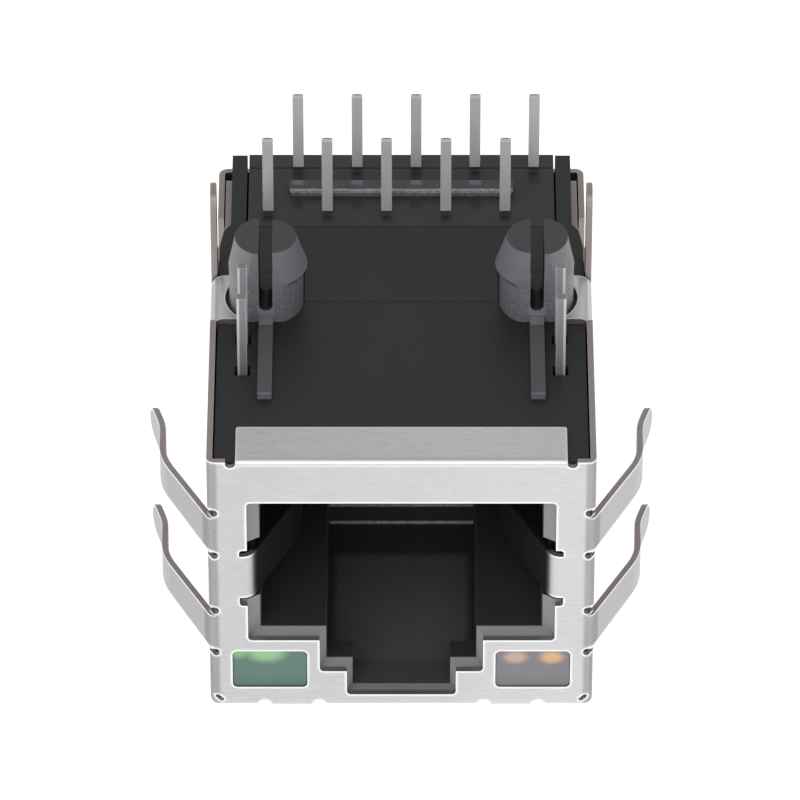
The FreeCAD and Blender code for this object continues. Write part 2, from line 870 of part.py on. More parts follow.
def front_shield():
    """One folded sheet."""
    tops, tail_front, tail_back = edge_cuts()
    opened = cut("shield_opened", shield_body(), port_cuts() + finger_cuts() + tops)
    pieces = [opened, folded_tab()] + folded_straps() + solder_tails(tail_front, tail_back)
    pieces += lances()
    inset = size.sheet_gauge / 2
    for level, z in enumerate(finger_heights()):
        for word, side, turn in (("left", -1, HALF_TURN), ("right", 1, NO_TURN)):
            shape = finger_shape(size.finger_rise, size.finger_flare)
            pieces.append(feature("finger_%s_%d" % (word, level), shape,
                                  (side * (half_width - inset), front_out + inset, z), turn))
    for word, side in (("left", -1), ("right", 1)):
        shape = finger_shape(size.top_finger_rise, size.top_finger_flare)
        pieces.append(feature("roof_finger_" + word, shape,
                              (side * size.top_finger_offset, front_out + inset,
                               roof_out + inset), DOWN_TURN))
    gap_half = spring_gap_width / 2
    for word, side, turn in (("left", -1, NO_TURN), ("right", 1, HALF_TURN)):
        pieces.append(feature("port_spring_" + word, port_spring_shape(),
                              (side * gap_half, front_out, -size.spring_drop), turn))
    return keep("front_shield", fuse("front_shield", pieces))


def rear_cover():
    """The folded sheet that closes the back: a rear wall, two lapping ears and a roof flange."""
    half = half_width - size.cover_inset
    whole = block("cover_whole", (-half, half), (cover_front, rear_out),
                  (roof_out, -size.rear_edge_drop))
    middle_z = roof_out / 2
    middle_y = (cover_front + rear_out) / 2
    bent = rounded("cover_bent", whole, [(size.cover_bend, [
        (half, rear_out, middle_z), (-half, rear_out, middle_z), (0, rear_out, roof_out),
        (half, middle_y, roof_out), (-half, middle_y, roof_out),
    ])])
    in_half = half - size.sheet_gauge
    inside = block("cover_inside", (-in_half, in_half),
                   (cover_front - beyond, rear_in), (roof_in, as_size(beyond)))
    bend = size.cover_bend - size.sheet_gauge
    hollow = rounded("cover_hollow", inside, [(bend, [
        (in_half, rear_in, middle_z), (-in_half, rear_in, middle_z), (0, rear_in, roof_in),
    ])])
    y, z = lance_window_span()
    windows = block("catch_windows", (-half - beyond, half + beyond), y, z)
    return keep("rear_cover", cut("rear_cover", bent, [hollow, windows]))


def hook_half(tag, x, side, radius, shift):
    """One half of a post's hook: its cones lie off the post's middle, so it stands out sideways."""
    middle = x + side * shift
    rim = radius - shift
    hook = fuse("hook_" + tag, [
        cone("barb_" + tag, size.stem_radius - shift, rim, size.barb_foot, size.barb_height, middle),
        cone("head_" + tag, rim, size.head_radius - shift, size.barb_height, size.post_height,
             middle),
    ])
    far = size.barb_radius + beyond
    span = (x, x + far) if side > 0 else (x - far, x)
    room = block("hook_room_" + tag, span, (-far, far), (size.barb_foot, size.post_height + beyond))
    return common("hook_half_" + tag, [hook, room])


def post_flats(word, x):
    """The room between a post's two flats, which lean in from the barb to the top."""
    low = board_face - beyond
    high = size.post_height + beyond
    sketch = outline("post_flats_side_" + word, "side", [
        (-size.post_depth, low), (size.post_depth, low), (size.post_depth, size.barb_height),
        (size.head_depth, size.post_height), (size.head_depth, high),
        (-size.head_depth, high), (-size.head_depth, size.post_height),
        (-size.post_depth, size.barb_height),
    ])
    far = size.barb_radius + beyond
    return extrude("post_flats_" + word, sketch, "x", x - far, x + far)


def snap_post(word, x):
    """One split snap post. Its slot has a floor in front and is open to the board face behind."""
    foot = board_face - size.play
    far = size.barb_radius + beyond
    outward = -1 if word == "left" else 1
    whole = fuse("post_round_" + word, [
        rod("stem_" + word, "z", size.stem_radius, size.barb_height - foot, (x, 0, foot)),
        hook_half("inner_" + word, x, -outward, size.barb_radius, size.barb_shift),
        hook_half("outer_" + word, x, outward, size.outer_barb_radius, as_size(0)),
    ])
    flat = common("post_whole_" + word, [whole, post_flats(word, x)])
    slot_foot = size.post_slot_foot + size.post_slot / 2
    half = size.post_slot / 2
    floor_end = size.post_slot_floor - size.post_depth
    tools = [
        block("post_slot_" + word, (x - half, x + half), (-far, far),
              (slot_foot, size.post_height + beyond)),
        rod("post_slot_foot_" + word, "y", half, far * 2, (x, -far, slot_foot)),
        block("post_slot_rear_" + word, (x - half, x + half), (floor_end, far),
              (board_face - beyond, slot_foot + size.play)),
    ]
    return cut("post_" + word, flat, tools)


def plug_cavity():
    """The room for the plug: body, latch channel behind two ledges, slot between them."""
    half = cavity_width / 2
    half_channel = size.channel_width / 2
    half_gap = size.gap_width / 2
    start = housing_front - beyond
    end = size.housing_end + beyond
    ledge_back = housing_front + size.ledge_depth
    step_y = front_out + size.floor_step
    body = (-shelf_drop, -size.cavity_drop)
    lead = (housing_front, housing_front + size.lead_in)
    port_half = port_width / 2
    step_half = size.step_width / 2
    slot_half = size.slot_width / 2
    overlap = -shelf_drop + size.play
    sill = -floor_drop + size.channel_sill
    return [
        block("cavity", (-half, half), (start, end), body),
        block("channel", (-half_channel, half_channel), (ledge_back, size.channel_end),
              (-floor_drop, overlap)),
        block("channel_rear", (-half_channel, half_channel),
              (size.channel_end - size.play, size.channel_end + size.channel_sill),
              (sill, overlap)),
        block("channel_front", (-half_channel, half_channel), (start, ledge_back + size.play),
              (-ledge_drop, overlap)),
        block("gap", (-half_gap, half_gap), (start, ledge_back + size.play),
              (-floor_drop, overlap)),
        block("floor_step", (-half_channel, half_channel), (step_y, size.channel_end),
              (-floor_drop - size.floor_step_drop, -floor_drop + size.play)),
        taper("cavity_lead", lead, (-port_half, port_half), (-port_foot_drop, -size.port_drop),
              (-half, half), body),
        taper("channel_lead", lead, (-step_half, step_half), (-step_drop, overlap),
              (-half_channel, half_channel), (-ledge_drop, overlap)),
        taper("gap_lead", lead, (-slot_half, slot_half), (-slot_drop, overlap),
              (-half_gap, half_gap), (-floor_drop, overlap)),
    ]


def spring_pockets():
    """Hollows in the cavity's side walls, which the port springs are pressed into."""
    half = cavity_width / 2
    z = (-size.spring_pocket_foot, -size.spring_pocket_top)
    cuts = []
    for word, x, side in sides(half - size.play, spring_pocket_side):
        cuts.append(block("spring_pocket_" + word, x,
                          (housing_front - beyond, housing_front + size.spring_pocket_deep), z))
    for word, x, side in sides(half - size.play, spring_pocket_inner):
        cuts.append(block("spring_pocket_rear_" + word, x,
                          (housing_front, housing_front + size.spring_pocket_end), z))
    return cuts


def lead_places():
    """For each lead of a lamp: its word, its distance behind the front and its drop in the lamp."""
    return (
        ("front", -size.lead_front, -lead_drop),
        ("rear", -size.lead_front + size.lead_pitch, -lead_drop - size.lead_spread),
    )


def lamp_room():
    """The lamp pockets, the lead slots up to the board side and the way between them."""
    cuts = []
    margin = size.lamp_flange + size.play
    pocket_back = front_out + size.lamp_depth + size.play
    slot_half = size.lead_slot / 2
    z_low = -lead_drop - size.lead_spread - size.lead_size
    for word, x, side in sides(lamp_offset - size.lamp_width / 2 - margin,
                               lamp_offset + size.lamp_width / 2 + margin):
        cuts.append(block("lamp_pocket_" + word, x, (housing_front - beyond, pocket_back),
                          (-lamp_drop - size.lamp_height / 2 - margin,
                           -lamp_drop + size.lamp_height / 2 + margin)))
    for word, x, side in sides(lead_offset - slot_half, lead_offset + slot_half):
        last_y = -size.lead_front + size.lead_pitch + size.lead_slot_long / 2
        cuts.append(block("lead_way_" + word, x, (pocket_back - size.play, last_y),
                          (z_low, -lead_drop + size.lead_size)))
        for place_word, y, z in lead_places():
            cuts.append(block("lead_slot_%s_%s" % (word, place_word), x,
                              (y - size.lead_slot_long / 2, y + size.lead_slot_long / 2),
                              (z_low, board_face + beyond)))
    return cuts


def bend_room():
    """Clearance in the housing's board-side edges for the inside of the sheet's bends."""
    strap_room = size.strap_bend - size.sheet_gauge
    tab_room = size.sheet_bend - size.sheet_gauge + size.play
    half_tab = tab_width / 2
    half_strap = size.strap_width / 2 + size.play
    cuts = [block("tab_room", (-half_tab, half_tab), (housing_front - beyond, front_in + tab_room),
                  (fold_in - tab_room, beyond))]
    for word, x, side in sides(side_in - strap_room - size.play, half_width):
        cuts.append(block("strap_room_" + word, x, (-half_strap, half_strap),
                          (fold_in - strap_room - size.play, beyond)))
    return cuts


def tongue_room():
    """The recess in the cavity's ceiling for the contact tongue and the hooks of the wires."""
    half = size.tongue_half + size.play
    ceiling = -size.cavity_drop - size.play
    return [
        block("tongue_room", (-half, half),
              (-size.tongue_reach - size.hook_room, size.housing_end + beyond),
              (ceiling, -size.tongue_drop + size.play)),
        block("insert_room", (-size.insert_front_half - size.play,
                              size.insert_front_half + size.play),
              (-size.play, size.housing_end + beyond), (ceiling, beyond)),
    ]


def shoulders(z):
    """Behind the wide part, each side follows the sheet's step in two slopes to its arm."""
    slopes = (
        ("front", wide_end, housing_half, shoulder, shoulder_half),
        ("rear", shoulder, shoulder_half, shoulder_end, arm_outer),
    )
    made = []
    for slope, near, near_half, far, far_half in slopes:
        far_sides = sides(arm_inner, far_half)
        for (word, near_x, side), (_, far_x, _) in zip(sides(arm_inner, near_half), far_sides):
            made.append(taper("shoulder_%s_%s" % (slope, word), (near, far), near_x, z, far_x, z))
    return made


def front_housing():
    """The front moulding: plug room, posts, seat ribs, lamp pockets and rear side arms."""
    z = (housing_roof, board_face)
    half = housing_half
    pieces = [block("housing_main", (-half, half), (housing_front, size.housing_end), z)]
    for word, x, side in sides(arm_inner, half):
        pieces.append(block("housing_wide_" + word, x,
                            (size.housing_end - size.play, wide_end), z))
    lapped = (housing_roof + size.sheet_gauge + size.play, board_face)
    pieces += shoulders(lapped)
    for word, x, side in sides(arm_inner, arm_outer):
        pieces.append(block("housing_arm_" + word, x, (wide_end - size.play, rear_in - size.arm_gap),
                            lapped))
    for word, x, side in sides(post_x - size.rib_width / 2, post_x + size.rib_width / 2):
        pieces.append(block("seat_rib_" + word, x, (-size.rib_end, -size.stem_radius / 2),
                            (board_face - size.play, 0)))
    tools = plug_cavity() + spring_pockets() + lamp_room() + tongue_room() + bend_room()
    body = cut("housing_hollowed", fuse("housing_whole", pieces), tools)
    posts = [snap_post(word, side * post_x) for word, side in (("left", -1), ("right", 1))]
    return keep("front_housing", fuse("front_housing", [body] + posts))


def wire_spots():
    """The X of each contact wire, left to right."""
    first = -(WIRES - 1) / 2
    return [size.wire_pitch * (first + i) for i in range(WIRES)]


def contact_insert():
    """The moulding behind the port: a tongue over the plug, a comb and the cavity's back wall."""
    ceiling = -size.cavity_drop
    narrow = size.insert_front_half
    pieces = [
        block("insert_block", (-insert_half, insert_half),
              (insert_front, insert_end),
              (insert_roof + size.sheet_gauge, board_face)),
        block("insert_bridge", (-narrow, narrow), (0, insert_end), (ceiling, board_face)),
        block("insert_flange", (-insert_half, insert_half),
              (insert_end - size.play, board_back),
              (-size.insert_flange, board_face)),
        block("insert_tongue", (-size.tongue_half, size.tongue_half),
              (-size.tongue_reach, size.play), (ceiling, -size.tongue_drop)),
    ]
    slot_half = size.wire_slot / 2
    rib_spots = [size.wire_pitch * (i - WIRES / 2) for i in range(WIRES + 1)]
    for i, x in enumerate(rib_spots):
        pieces.append(block("comb_rib_%d" % i, (x - size.comb_rib / 2, x + size.comb_rib / 2),
                            (insert_front - size.comb_reach, insert_front + size.play),
                            (-size.comb_foot, ceiling + size.play)))
    slots = []
    for i, x in enumerate(wire_spots()):
        slots.append(block("wire_slot_%d" % i, (x - slot_half, x + slot_half),
                           (-size.tongue_reach - beyond, board_back + beyond),
                           (-size.wire_drop - slot_half, -size.wire_drop + slot_half)))
    return keep("contact_insert", cut("contact_insert", fuse("insert_whole", pieces), slots))


def wire_shape():
    """One contact wire: out along the tongue, hooked down, and back at a slant into the comb."""
    radius = number(size.wire_radius)
    hook = number(size.wire_hook)
    z = -number(size.wire_drop)
    back = number(board_back + size.wire_stub)
    front = -number(size.tongue_reach) - hook / 2
    fall = math.radians(number(size.wire_fall_angle))
    centre = FreeCAD.Vector(0, front, z - hook)
    start = FreeCAD.Vector(0, back, z)
    turn_in = FreeCAD.Vector(0, front, z)
    turn_mid = centre + FreeCAD.Vector(0, -hook, 0)
    turn_out = centre + FreeCAD.Vector(0, -hook * math.sin(fall), -hook * math.cos(fall))
    tip_y = number(size.wire_tip)
    run = (tip_y - turn_out.y) / math.cos(fall)
    tip = turn_out + FreeCAD.Vector(0, run * math.cos(fall), -run * math.sin(fall))
    path = Part.Wire([
        Part.LineSegment(start, turn_in).toShape(),
        Part.Arc(turn_in, turn_mid, turn_out).toShape(),
        Part.LineSegment(turn_out, tip).toShape(),
    ])
    section = Part.Wire([Part.Circle(start, FreeCAD.Vector(0, 1, 0), radius).toShape()])
    return path.makePipeShell([section], True, False)


def contact_wires():
    for i, x in enumerate(wire_spots(), 1):
        name = "contact_wire_%d" % i
        keep(name, feature(name, wire_shape(), (x, 0, 0), NO_TURN))


def origin_plane(body, role):
    return [plane for plane in body.Origin.OriginFeatures if plane.Role == role][0]


def rectangle(body, name, role, half_u, half_v):
    """A sketch in a body: a rectangle centred on the origin, its half sizes held by the sheet."""
    sketch = body.newObject("Sketcher::SketchObject", name)
    sketch.AttachmentSupport = [(origin_plane(body, role), "")]
    sketch.MapMode = "FlatFace"
    u, v = number(half_u), number(half_v)
    corners = [FreeCAD.Vector(a, b, 0) for a, b in ((-u, -v), (u, -v), (u, v), (-u, v))]
    for i in range(4):
        sketch.addGeometry(Part.LineSegment(corners[i], corners[(i + 1) % 4]))
    for i in range(4):
        sketch.addConstraint(Sketcher.Constraint("Coincident", i, 2, (i + 1) % 4, 1))
    for i, kind in enumerate(("Horizontal", "Vertical", "Horizontal", "Vertical")):
        sketch.addConstraint(Sketcher.Constraint(kind, i))
    sketch.addConstraint(Sketcher.Constraint("Symmetric", 0, 1, 1, 2, -1, 1))
    for kind, line, value in (("DistanceX", 0, half_u), ("DistanceY", 1, half_v)):
        index = sketch.addConstraint(
            Sketcher.Constraint(kind, line, 1, line, 2, 2 * number(value))
        )
        sketch.setExpression("Constraints[%d]" % index, (as_size(value) * 2).formula)
    return sketch


def board_pin(name, x, y):
    """One flat solder pin with a chamfered tip."""
    body = doc.addObject("PartDesign::Body", name)
    section = rectangle(body, name + "_section", "XY_Plane", size.pin_width / 2,
                        size.pin_thick / 2)
    pad = body.newObject("PartDesign::Pad", name + "_pad")
    pad.Profile = section
    pad.setExpression("Length", (size.pin_height + size.pin_inner).formula)
    doc.recompute()
    tip = max(vertex.Z for vertex in pad.Shape.Vertexes)
    edges = [
        "Edge%d" % i for i, edge in enumerate(pad.Shape.Edges, 1)
        if all(abs(vertex.Z - tip) < 1e-6 for vertex in edge.Vertexes)
    ]
    chamfer = body.newObject("PartDesign::Chamfer", name + "_chamfer")
    chamfer.Base = (pad, edges)
    chamfer.setExpression("Size", size.pin_tip.formula)
    for letter, value in zip("xyz", (x, y, -size.pin_inner)):
        body.setExpression("Placement.Base." + letter, as_size(value).formula)
    return keep(name, body)


def pin_spots():
    """Each pin's place: two rows of five, the rear row half a pitch to the right."""
    spots = []
    for y, shift in ((front_row, -0.25), (front_row + size.row_pitch, 0.25)):
        for i in range(PINS_PER_ROW):
            spots.append((size.pin_pitch * (i - (PINS_PER_ROW - 1) / 2 + shift), y))
    return spots


def coil_spots():
    """Where the coils hang: four transformers above four chokes."""
    spots = []
    for kind, row in (("transformer", 0), ("choke", 1)):
        for i in range(COILS_PER_ROW):
            x = coil_pitch * (i - (COILS_PER_ROW - 1) / 2)
            z = -size.coil_drop - size.coil_row_pitch * row
            spots.append((kind, i + 1, x, z))
    return spots


def magnetics_case():
    """The rear moulding: a thick base for the pins, the seat ridge, and pegs for the coils."""
    half = insert_half
    whole = block("case_whole", (-half, half), (case_front, case_back),
                  (insert_roof + size.sheet_gauge, board_face))
    hollow = block("case_hollow", (-half + size.case_side, half - size.case_side),
                   (case_front - beyond, case_inner_back),
                   (insert_roof + size.sheet_gauge + size.case_side, board_face - size.case_base))
    ridge_middle = case_back - size.ridge_setback
    ridge = block("ridge_block", (-size.ridge_length / 2, size.ridge_length / 2),
                  (ridge_middle - size.ridge_width / 2, ridge_middle + size.ridge_width / 2),
                  (board_face - size.play, 0))
    corner_z = board_face / 2
    soft_ridge = rounded("ridge", ridge, [
        (size.ridge_corner, [
            (a * size.ridge_length / 2, ridge_middle + b * size.ridge_width / 2, corner_z)
            for a in (-1, 1) for b in (-1, 1)
        ]),
    ])
    tools = [block("case_groove", (-half - beyond, half + beyond),
                   (groove_start, groove_start + size.case_groove_width),
                   (board_face - size.case_groove_depth, board_face + beyond))]
    for i, (x, y) in enumerate(pin_spots()):
        half_w = size.pin_width / 2 + size.play / 2
        half_t = size.pin_thick / 2 + size.play / 2
        tools.append(block("pin_hole_%d" % i, (x - half_w, x + half_w), (y - half_t, y + half_t),
                           (-size.pin_inner - beyond, board_face + beyond)))
        tools.append(rod("pin_dimple_%d" % i, "z", size.pin_dimple,
                         size.pin_dimple_depth + beyond,
                         (x, y - size.pin_dimple_lead, board_face - size.pin_dimple_depth)))
    shell = cut("case_shell", cut("case_open", whole, [hollow]), tools)
    pegs = []
    radius = core_hole - size.winding - size.peg_play
    for kind, i, x, z in coil_spots():
        long = size.coil_setback + size.core_length + size.winding * 2
        pegs.append(rod("peg_%s_%d" % (kind, i), "y", radius, long + size.play,
                        (x, case_inner_back - long, z)))
    return keep("magnetics_case", fuse("magnetics_case", [shell, soft_ridge] + pegs))


def ring(name, outer, inner, length, spot):
    """A ring whose axis runs along Y."""
    body = rod(name + "_outer", "y", outer, length, spot)
    low = (spot[0], spot[1] - beyond, spot[2])
    hole = rod(name + "_hole", "y", inner, length + 2 * beyond, low)
    return cut(name, body, [hole])


def coils():
    """Ferrite rings on the case's pegs, each with its winding round most of the ring."""
    radii = {"transformer": core_radius, "choke": choke_radius}
    lengths = {"transformer": size.core_length, "choke": size.choke_length}
    for kind, i, x, z in coil_spots():
        outer, length = radii[kind], lengths[kind]
        front = case_inner_back - size.coil_setback - size.winding - length
        core_name = "%s_core_%d" % (kind, i)
        core = ring(core_name, outer, core_hole, length, (x, front, z))
        keep(core_name, core)
        name = "%s_winding_%d" % (kind, i)
        around = rod(name + "_sleeve", "y", outer + size.winding, length + 2 * size.winding,
                     (x, front - size.winding, z))
        around.setExpression("Angle", size.winding_angle.formula)
        hole = rod(name + "_bore", "y", core_hole - size.winding,
                   length + 2 * beyond, (x, front - beyond, z))
        inside = ring(name + "_inside", outer, core_hole, length, (x, front, z))
        keep(name, cut(name, around, [hole, inside]))


def inner_circuit_board():
    """The upright inner board, with a row of holes that the contact wires pass through."""
    body = doc.addObject("PartDesign::Body", "inner_circuit_board")
    height = board_foot_drop - size.board_top_drop
    section = rectangle(body, "board_outline", "XZ_Plane", board_half, height / 2)
    pad = body.newObject("PartDesign::Pad", "board_pad")
    pad.Profile = section
    pad.setExpression("Length", size.board_thickness.formula)
    middle = -(board_foot_drop + size.board_top_drop) / 2
    holes = body.newObject("Sketcher::SketchObject", "board_hole")
    holes.AttachmentSupport = [(origin_plane(body, "XZ_Plane"), "")]
    holes.MapMode = "FlatFace"
    rise = -size.wire_drop - middle
    start = wire_spots()[0]
    holes.addGeometry(Part.Circle(FreeCAD.Vector(number(start), number(rise), 0),
                                  FreeCAD.Vector(0, 0, 1), number(size.board_hole)))
    rules = (
        (Sketcher.Constraint("Radius", 0, number(size.board_hole)), size.board_hole),
        (Sketcher.Constraint("DistanceX", -1, 1, 0, 3, number(start)), start),
        (Sketcher.Constraint("DistanceY", -1, 1, 0, 3, number(rise)), rise),
    )
    for rule, value in rules:
        index = holes.addConstraint(rule)
        holes.setExpression("Constraints[%d]" % index, value.formula)
    pocket = body.newObject("PartDesign::Pocket", "board_holes")
    pocket.Profile = holes
    pocket.Type = "ThroughAll"
    pocket.Midplane = True
    row = body.newObject("PartDesign::LinearPattern", "board_hole_row")
    row.Originals = [pocket]
    row.Direction = (holes, ["H_Axis"])
    row.Occurrences = WIRES
    row.setExpression("Length", (size.wire_pitch * (WIRES - 1)).formula)
    body.Tip = row
    for letter, value in zip("xyz", (0, board_back, middle)):
        body.setExpression("Placement.Base." + letter, as_size(value).formula)
    return keep("inner_circuit_board", body)


def chip(name, x, z, length, width, height):
    """A chip part on the inner board's rear face, with a soldered cap at each end."""
    y = (board_back, board_back + height)
    step = size.play
    pieces = [block(name + "_body", (x - length / 2 + step, x + length / 2 - step),
                    (y[0] + step, y[1] - step), (z - width / 2 + step, z + width / 2 - step))]
    for side in (-1, 1):
        outer = x + side * length / 2
        inner = outer - side * size.chip_cap
        span = (inner, outer) if side > 0 else (outer, inner)
        pieces.append(block("%s_cap_%d" % (name, side), span, y, (z - width / 2, z + width / 2)))
    return keep(name, fuse(name, pieces))


def chips():
    for i in range(COILS_PER_ROW):
        x = coil_pitch * (i - (COILS_PER_ROW - 1) / 2)
        chip("chip_resistor_%d" % (i + 1), x, -chip_drop, size.chip_length,
             size.chip_width, size.chip_height)
    chip("chip_capacitor", as_size(0), -big_chip_drop, size.big_chip_length,
         size.big_chip_width, size.big_chip_height)


def lamp(name, side):
    """One moulded lamp: a lens that fills its window, and a wider body behind the face."""
    low = lamp_offset - size.lamp_width / 2 + size.play
    high = lamp_offset + size.lamp_width / 2 - size.play
    z_low = -lamp_drop - size.lamp_height / 2 + size.play
    z_high = -lamp_drop + size.lamp_height / 2 - size.play
    grown = size.lamp_flange + size.play
    front = front_out + size.lamp_recess
    back = front_out + size.lamp_depth
    x = (low, high) if side > 0 else (-high, -low)
    lens = block(name + "_lens", x, (front, back), (z_low, z_high))
    soft = rounded(name + "_lens_soft", lens, [
        (size.lamp_corner - size.play, [(a, front_in, b) for a in x for b in (z_low, z_high)])
    ])
    body = block(name + "_body", (x[0] - grown, x[1] + grown), (housing_front, back),
                 (z_low - grown, z_high + grown))
    return keep(name, fuse(name, [soft, body]))


def lead(name, side, y, z):
    """One lamp lead: back from the lamp, then up through the housing to the board."""
    half = size.lead_size / 2
    x = side * lead_offset
    span = (x - half, x + half)
    start = front_out + size.lamp_depth
    pieces = [
        block(name + "_back", span, (start, y + half), (z - half, z + half)),
        block(name + "_up", span, (y - half, y + half), (z - half, size.lead_height)),
    ]
    angle = fuse(name + "_angle", pieces)
    return keep(name, rounded(name, angle, [
        (size.lead_bend, [(x, y + half, z - half)]),
        (size.lead_bend - size.lead_size / 2, [(x, y - half, z + half)]),
        (size.lead_size / 6, [(x, y - half, size.lead_height), (x, y + half, size.lead_height)]),
    ]))


def lamps():
    for colour, side in (("green", -1), ("amber", 1)):
        lamp(colour + "_led", side)
        for word, y, z in lead_places():
            lead("%s_lead_%s" % (colour, word), side, y, z)


def build():
    fill_sheet()
    front_shield()
    rear_cover()
    front_housing()
    contact_insert()
    contact_wires()
    inner_circuit_board()
    chips()
    magnetics_case()
    coils()
    for i, (x, y) in enumerate(pin_spots(), 1):
        board_pin("board_pin_%d" % i, x, y)
    lamps()
    doc.recompute()


def check():
    """Stops if any object failed, or if a sub-part isn't one sound solid."""
    for made in doc.Objects:
        if "Invalid" in made.State or "Error" in made.State:
            raise RuntimeError("%s failed: %s" % (made.Name, made.State))
    for name, made in kept:
        shape = made.Shape
        if shape.isNull() or not shape.isValid() or len(shape.Solids) != 1:
            raise RuntimeError("%s is not one sound solid: %d" % (name, len(shape.Solids)))


def write():
    os.makedirs("parts", exist_ok=True)
    for name, made in kept:
        made.Shape.exportStep(os.path.join("parts", name + ".step"))
        print(name, "%.2f mm3" % made.Shape.Volume)


build()
check()
write()
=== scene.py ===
"""The looks of the shielded board jack: finishes, floor, lights and camera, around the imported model."""

import math

import bpy
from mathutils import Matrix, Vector
from mathutils.bvhtree import BVHTree


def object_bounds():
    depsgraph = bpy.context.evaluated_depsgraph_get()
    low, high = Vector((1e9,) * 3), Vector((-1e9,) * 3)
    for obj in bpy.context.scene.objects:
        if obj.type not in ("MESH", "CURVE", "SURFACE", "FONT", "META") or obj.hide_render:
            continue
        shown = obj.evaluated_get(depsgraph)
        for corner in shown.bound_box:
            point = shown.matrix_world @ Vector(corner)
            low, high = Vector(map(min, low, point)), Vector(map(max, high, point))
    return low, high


MM = 0.001

# The camera: the point that it looks at, in the part's frame, its distance and height, and its lens
VIEW_TARGET = Vector((-0.058, -6.906, 0.0)) * MM
VIEW_DISTANCE = 335.97 * MM
VIEW_ELEVATION = math.radians(39.5)
FOCAL_PIXELS = 8067.2
PICTURE_PIXELS = 800.0
CLIP_START = 0.02
CLIP_END = 20.0

# The lights: name, place and size in metres, and power in watts
LIGHTS = (
    ("key", (-0.12, -0.48, 0.435), (0.75, 0.50), 1.25),
    ("back", (0.0, 0.45, 0.38), (0.9, 0.5), 0.35),
)
ROOM_STRENGTH = 0.30
FLOOR_HALF = 3.0
FLOOR_GLOW = 0.72
WHITE = (1.0, 1.0, 1.0, 1.0)

# Places and sizes on the part, in millimetres
SHEET_GAUGE = 0.25
PIN_PITCH = 2.54
LAMP_DROP = 11.46

# A cut face of the sheet has more metal behind it than this, and is narrower than this, in gauges
CUT_DEPTH = 1.5
CUT_WIDTH = 1.4
# How far behind the face the ray starts that measures the metal
RAY_START = 0.01 * MM

# How well the rounded normal of a bevel still fits the face where no edge is near
FLAT_FIT = 0.995
BEVEL_SAMPLES = 6

# How far a face has turned when it starts to count, and when it counts fully
SIDE_TURN = (0.3, 0.9)
BOARD_TURN = (0.4, 0.9)
FRONT_BEND_TURN = (0.10, 0.32)
PIN_TURN = (0.6, 0.9)

# The tinned sheet: its greys, and how dark and light its brushing gets, elsewhere and on the board side
SHEET_DARK = 0.535
SHEET_LIGHT = 0.605
# Painted shade on faces turned sideways, and painted light on faces turned to the board side
SHEET_SIDE_SHADE = 0.43
SHEET_BOARD_SIDE_LIGHT = 0.80
SHEET_HIGHLIGHT = 1.0
BRUSH_DARK = (0.75, 0.62)
BRUSH_LIGHT = (1.25, 1.36)
# Painted light makes it lighter to the right, and painted shade makes its side bends and side fingers
# darker, by these factors
RIGHT_PAINTED_LIGHT = 1.10
RIGHT_SPAN = (-8.0, 8.0)
BEND_SHADE = 0.62
FINGER_SHADE = 0.96
# The cut edges of the sheet with a painted highlight on their corners, and the painted shade on the faces
# and cut edges of its springs in the port
CUT_DARK = (0.43, 0.375, 0.355)
CUT_LIGHT = (0.60, 0.53, 0.50)
CUT_CORNER_HIGHLIGHT = (0.85, 0.83, 0.80)
SPRING_FACE_SHADE = (0.13, 0.13, 0.132)
SPRING_EDGE_SHADE = (0.05, 0.05, 0.045)
# Zones of the sheet with painted shade: spans of X, Y and Z, and how soft
SPRING_SHADE_ZONE = (((0, 6.2), (-10.3, 0), (-9.0, -4.0)), 0.3)
SIDE_BENDS = (((7.76, 8.2), (-10.9, -10.45), (-14.0, -0.2)), 0.2)
FINGERS = (((8.12, 9.8), (-10.8, -3.0), (-12.0, -2.0)), 0.03)

# The black mouldings: each one's dark and light tone, and the painted highlight along their edges
HOUSING_TONES = ((0.0215, 0.023, 0.026), (0.0295, 0.031, 0.0345))
INSERT_TONES = ((0.024, 0.025, 0.027), (0.03, 0.031, 0.034))
CASE_TONES = ((0.040, 0.041, 0.043), (0.052, 0.053, 0.055))
MOULDED_EDGE_HIGHLIGHT = (0.24, 0.24, 0.25)
MOULDED_HIGHLIGHT_SHARE = 0.55
# The noise at which the speckle starts, and where it is full
SPECKLE_SPAN = (0.35, 0.65)
# Where the edges have no painted highlight: spans of X, Y and Z, and how soft
SEAM_PLANE = (((0, 8), (-10.7, 10.5), (-0.32, -0.28)), 0.01)
